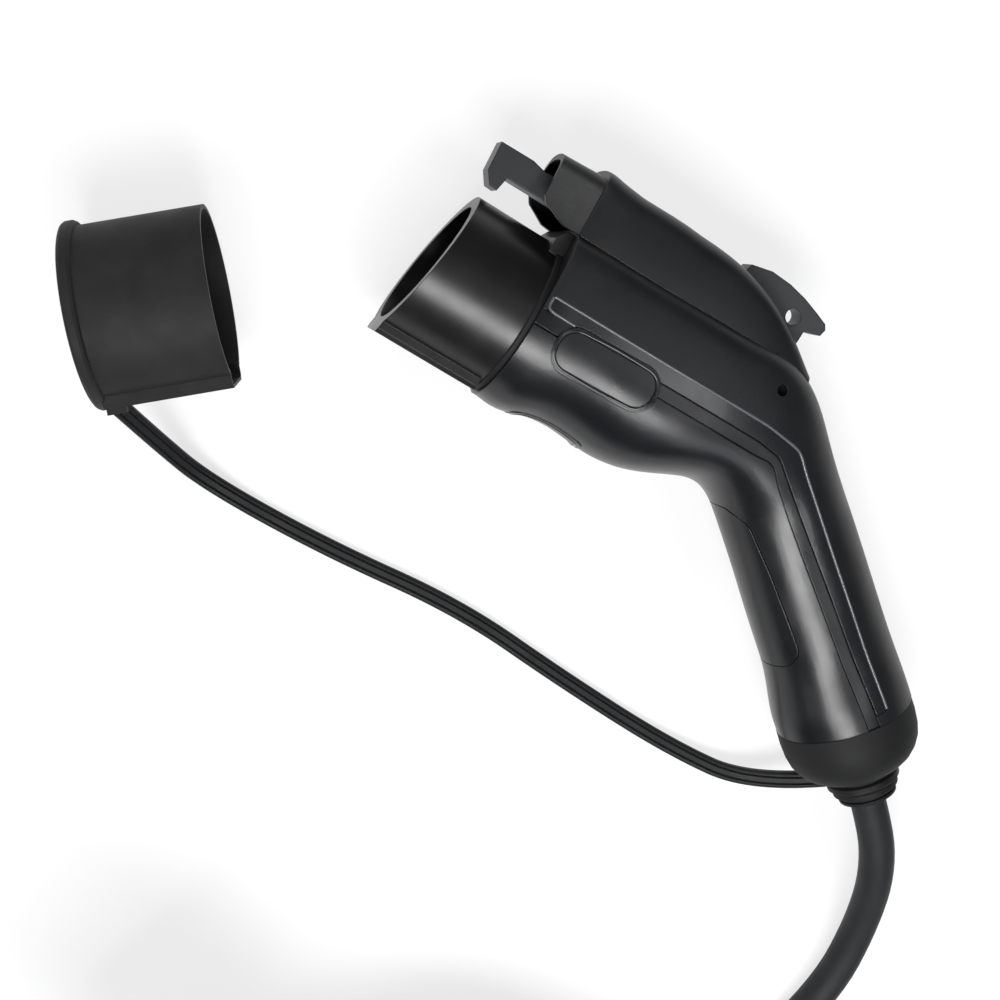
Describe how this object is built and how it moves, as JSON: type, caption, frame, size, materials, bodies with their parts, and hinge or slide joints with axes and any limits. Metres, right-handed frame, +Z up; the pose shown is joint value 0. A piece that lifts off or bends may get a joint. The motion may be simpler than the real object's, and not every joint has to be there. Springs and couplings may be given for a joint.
{
  "type": "ev charging cable",
  "caption": "Pistol-grip vehicle charging connector with latch lever, strapped dust cap and coiled cable to a straight plug.",
  "frame": {"origin": "centre of the mating barrel's rim on the barrel's axis", "axes": "-X is the mating direction along the barrel's axis, +Y is the latch side, +Z points up from the surface that the connector lies on"},
  "size_m": [0.3569, 0.3888, 0.0988],
  "materials": {
    "matte_plastic": "fine matte black",
    "satin_plastic": "satin black",
    "gloss_plastic": "gloss black",
    "barrel_plastic": "satin black",
    "soft_rubber": "matte black rubber",
    "cable_sheath": "matte black sheath",
    "carrier_plastic": "matte black",
    "contact_metal": "silver plated copper",
    "steel": "zinc plated steel",
    "core_brown": "insulated wire",
    "core_blue": "insulated wire",
    "core_green": "insulated wire",
    "core_black": "insulated wire"
  },
  "bodies": {
    "connector": {"barrel": "barrel_plastic", "barrel_gasket": "soft_rubber", "contact_carrier": "carrier_plastic", "contact_l1": "contact_metal", "contact_l2": "contact_metal", "contact_earth": "contact_metal", "contact_pilot": "contact_metal", "contact_proximity": "contact_metal", "core_l1": "core_brown", "core_l2": "core_blue", "core_earth": "core_green", "core_pilot": "core_black", "core_proximity": "core_black", "lower_shell": "satin_plastic", "upper_shell": "matte_plastic", "latch_cover": "matte_plastic", "side_trim_left": "gloss_plastic", "side_trim_right": "gloss_plastic", "side_pad_left": "satin_plastic", "side_pad_right": "satin_plastic", "underside_pad": "satin_plastic", "grip_insert": "satin_plastic", "latch_pin": "steel", "latch_spring": "steel", "proximity_switch": "carrier_plastic", "end_cap": "matte_plastic", "gland_seal": "soft_rubber", "gland_nut": "matte_plastic", "strap_ring": "soft_rubber", "cable_clamp": "carrier_plastic", "housing_screws": "steel", "clamp_screws": "steel", "cable": "cable_sheath", "cable_coil": "cable_sheath", "cable_tail": "cable_sheath", "cap_strap": "soft_rubber", "dust_cap": "soft_rubber", "far_shell_upper": "matte_plastic", "far_shell_lower": "matte_plastic", "far_nose": "matte_plastic", "far_insert": "carrier_plastic", "far_power_contacts": "contact_metal", "far_signal_contacts": "contact_metal", "far_gland_nut": "matte_plastic"},
    "lever": {"latch_lever": "matte_plastic"},
    "plunger": {"switch_plunger": "carrier_plastic"}
  },
  "joints": [
    {"name": "lever_hinge", "type": "hinge", "parent": "connector", "child": "lever", "pos_m": [0.05, 0.0335, 0], "axis": [0, 0, -1], "range_deg": [0, 5.5], "stiffness_Nm_per_rad": 1.2, "springref_deg": -8.59, "deforming": ["latch_spring"]},
    {"name": "plunger_slide", "type": "slide", "parent": "connector", "child": "plunger", "axis": [0, -1, 0], "range_m": [0, 0.0016]}
  ],
  "couplings": [
    {"joint": "plunger_slide", "follows": "lever_hinge", "m_per_rad": 0.014}
  ]
}
